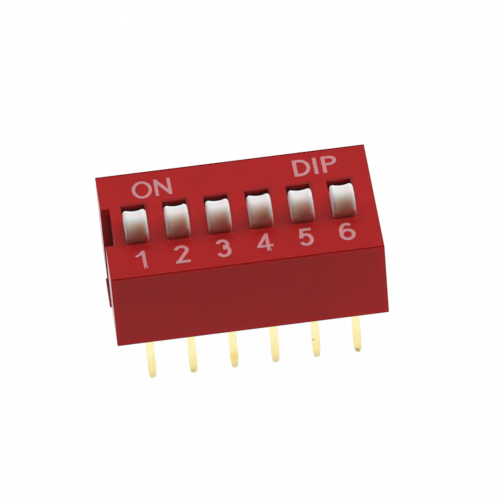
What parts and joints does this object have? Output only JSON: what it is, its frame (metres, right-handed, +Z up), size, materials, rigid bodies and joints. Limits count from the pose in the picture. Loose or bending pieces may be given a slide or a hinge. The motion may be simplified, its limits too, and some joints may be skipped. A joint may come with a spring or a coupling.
{
  "type": "dip switch",
  "caption": "Through-hole slide switch block: red body, raised white sliders in a row, each moved between OFF and ON, and two rows of flat gold-plated leads.",
  "frame": {"origin": "middle of the body's underside, on the plane where the body sits on the board", "axes": "+X along the row from switch 1 to the last switch, +Y towards the ON side, +Z up out of the board"},
  "size_m": [0.0168, 0.0098, 0.0103],
  "materials": {
    "cover": "red thermoplastic, fine satin mould finish, pale printed legend",
    "base": "red thermoplastic, satin",
    "lead": "thin gold plating over copper alloy strip",
    "slider": "milky white low-friction plastic, softly glossy",
    "contact": "gold-plated copper alloy spring strip"
  },
  "bodies": {
    "housing": {"cover": "cover", "base": "base", "front_lead_1": "lead", "front_lead_2": "lead", "front_lead_3": "lead", "front_lead_4": "lead", "front_lead_5": "lead", "front_lead_6": "lead", "rear_lead_1": "lead", "rear_lead_2": "lead", "rear_lead_3": "lead", "rear_lead_4": "lead", "rear_lead_5": "lead", "rear_lead_6": "lead"},
    "switch_1": {"slider_1": "slider", "contact_1": "contact"},
    "switch_2": {"slider_2": "slider", "contact_2": "contact"},
    "switch_3": {"slider_3": "slider", "contact_3": "contact"},
    "switch_4": {"slider_4": "slider", "contact_4": "contact"},
    "switch_5": {"slider_5": "slider", "contact_5": "contact"},
    "switch_6": {"slider_6": "slider", "contact_6": "contact"}
  },
  "joints": [
    {"name": "switch_1_slide", "type": "slide", "parent": "housing", "child": "switch_1", "axis": [0, 1, 0], "range_m": [0, 0.00104]},
    {"name": "switch_2_slide", "type": "slide", "parent": "housing", "child": "switch_2", "axis": [0, 1, 0], "range_m": [0, 0.00104]},
    {"name": "switch_3_slide", "type": "slide", "parent": "housing", "child": "switch_3", "axis": [0, 1, 0], "range_m": [0, 0.00104]},
    {"name": "switch_4_slide", "type": "slide", "parent": "housing", "child": "switch_4", "axis": [0, 1, 0], "range_m": [0, 0.00104]},
    {"name": "switch_5_slide", "type": "slide", "parent": "housing", "child": "switch_5", "axis": [0, 1, 0], "range_m": [0, 0.00104]},
    {"name": "switch_6_slide", "type": "slide", "parent": "housing", "child": "switch_6", "axis": [0, 1, 0], "range_m": [0, 0.00104]}
  ]
}
